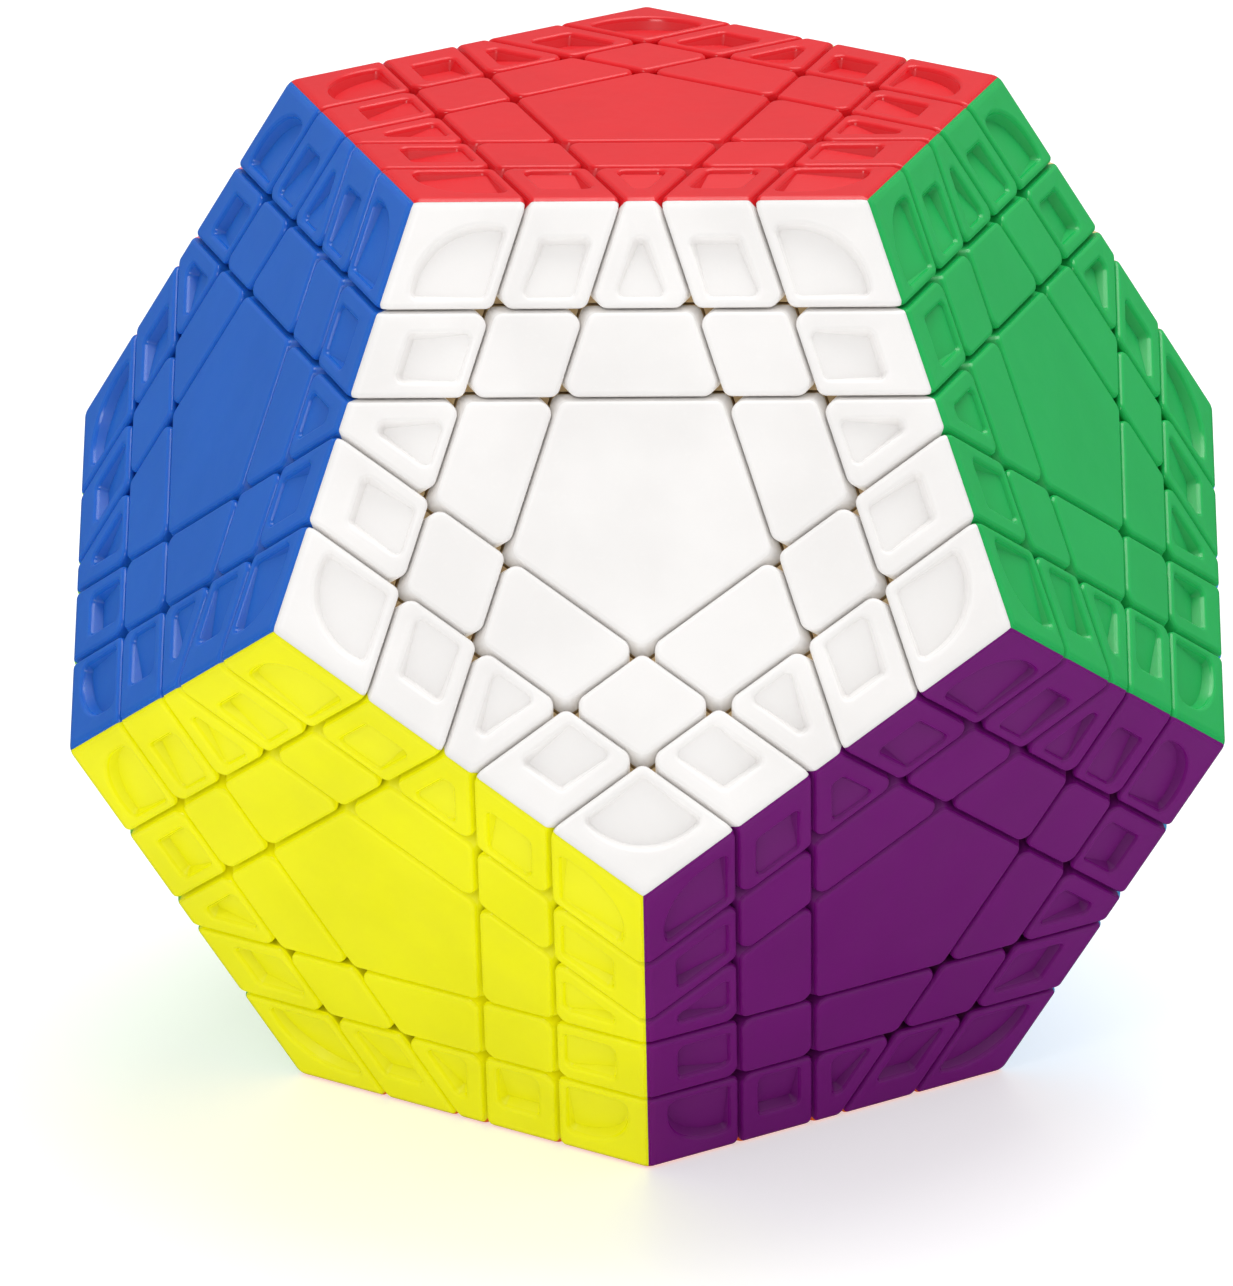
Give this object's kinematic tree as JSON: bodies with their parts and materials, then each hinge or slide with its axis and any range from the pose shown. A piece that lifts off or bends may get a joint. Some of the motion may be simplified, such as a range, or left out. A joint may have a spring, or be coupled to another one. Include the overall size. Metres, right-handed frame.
{
  "type": "dodecahedron twisty puzzle",
  "caption": "Dodecahedron puzzle with rows of coloured plastic pieces that turn in layers about its faces.",
  "frame": {"origin": "centre of the ball core, which is the dodecahedron's centre", "axes": "+Z through the red face, -Y towards the white face, so it rests on the orange face"},
  "size_m": [0.1146, 0.1202, 0.098],
  "materials": {
    "blue_cap": "satin",
    "core_plastic": "as moulded",
    "cream_cap": "satin",
    "foot_plastic": "as moulded",
    "green_cap": "satin",
    "grey_cap": "satin",
    "hub_plastic": "as moulded",
    "lime_cap": "satin",
    "orange_cap": "satin",
    "pink_cap": "satin",
    "purple_cap": "satin",
    "red_cap": "satin",
    "screw_steel": "plated",
    "sky_cap": "satin",
    "spring_steel": "drawn wire",
    "washer_steel": "plated",
    "white_cap": "satin",
    "yellow_cap": "satin"
  },
  "bodies": {
    "root": {"core_lower_half": "core_plastic", "core_upper_half": "core_plastic", "fixed_centre_hubs": "hub_plastic", "fixed_corner_feet": "foot_plastic", "fixed_cream_caps": "cream_cap", "fixed_edge_feet": "foot_plastic", "fixed_grey_caps": "grey_cap", "fixed_inner_feet": "foot_plastic", "fixed_lime_caps": "lime_cap", "fixed_pink_caps": "pink_cap", "fixed_purple_caps": "purple_cap", "fixed_red_caps": "red_cap", "fixed_sky_caps": "sky_cap", "fixed_white_caps": "white_cap", "fixed_yellow_caps": "yellow_cap", "screw_washers": "washer_steel", "tension_screws": "screw_steel", "tension_springs": "spring_steel"},
    "blue_layer": {"blue_centre_hub": "hub_plastic", "blue_layer_blue_caps": "blue_cap", "blue_layer_feet": "foot_plastic", "blue_layer_lime_caps": "lime_cap", "blue_layer_pink_caps": "pink_cap", "blue_layer_red_caps": "red_cap", "blue_layer_white_caps": "white_cap", "blue_layer_yellow_caps": "yellow_cap"},
    "blue_slice": {"blue_slice_feet": "foot_plastic", "blue_slice_lime_caps": "lime_cap", "blue_slice_pink_caps": "pink_cap", "blue_slice_red_caps": "red_cap", "blue_slice_white_caps": "white_cap", "blue_slice_yellow_caps": "yellow_cap"},
    "green_layer": {"green_centre_hub": "hub_plastic", "green_layer_cream_caps": "cream_cap", "green_layer_feet": "foot_plastic", "green_layer_green_caps": "green_cap", "green_layer_purple_caps": "purple_cap", "green_layer_red_caps": "red_cap", "green_layer_sky_caps": "sky_cap", "green_layer_white_caps": "white_cap"},
    "green_slice": {"green_slice_cream_caps": "cream_cap", "green_slice_feet": "foot_plastic", "green_slice_purple_caps": "purple_cap", "green_slice_red_caps": "red_cap", "green_slice_sky_caps": "sky_cap", "green_slice_white_caps": "white_cap"},
    "orange_layer": {"orange_centre_hub": "hub_plastic", "orange_layer_feet": "foot_plastic", "orange_layer_grey_caps": "grey_cap", "orange_layer_lime_caps": "lime_cap", "orange_layer_orange_caps": "orange_cap", "orange_layer_purple_caps": "purple_cap", "orange_layer_sky_caps": "sky_cap", "orange_layer_yellow_caps": "yellow_cap"},
    "orange_slice": {"orange_slice_feet": "foot_plastic", "orange_slice_grey_caps": "grey_cap", "orange_slice_lime_caps": "lime_cap", "orange_slice_purple_caps": "purple_cap", "orange_slice_sky_caps": "sky_cap", "orange_slice_yellow_caps": "yellow_cap"}
  },
  "joints": [
    {"name": "blue_layer_turn", "type": "hinge", "parent": "root", "child": "blue_layer", "pos_m": [0, 0, 0], "axis": [-0.8507, -0.2764, 0.4472], "continuous": true},
    {"name": "blue_slice_turn", "type": "hinge", "parent": "root", "child": "blue_slice", "pos_m": [0, 0, 0], "axis": [-0.8507, -0.2764, 0.4472], "continuous": true},
    {"name": "green_layer_turn", "type": "hinge", "parent": "root", "child": "green_layer", "pos_m": [0, 0, 0], "axis": [0.8507, -0.2764, 0.4472], "continuous": true},
    {"name": "green_slice_turn", "type": "hinge", "parent": "root", "child": "green_slice", "pos_m": [0, 0, 0], "axis": [0.8507, -0.2764, 0.4472], "continuous": true},
    {"name": "orange_layer_turn", "type": "hinge", "parent": "root", "child": "orange_layer", "pos_m": [0, 0, 0], "axis": [0, 0, -1], "continuous": true},
    {"name": "orange_slice_turn", "type": "hinge", "parent": "root", "child": "orange_slice", "pos_m": [0, 0, 0], "axis": [0, 0, -1], "continuous": true}
  ]
}
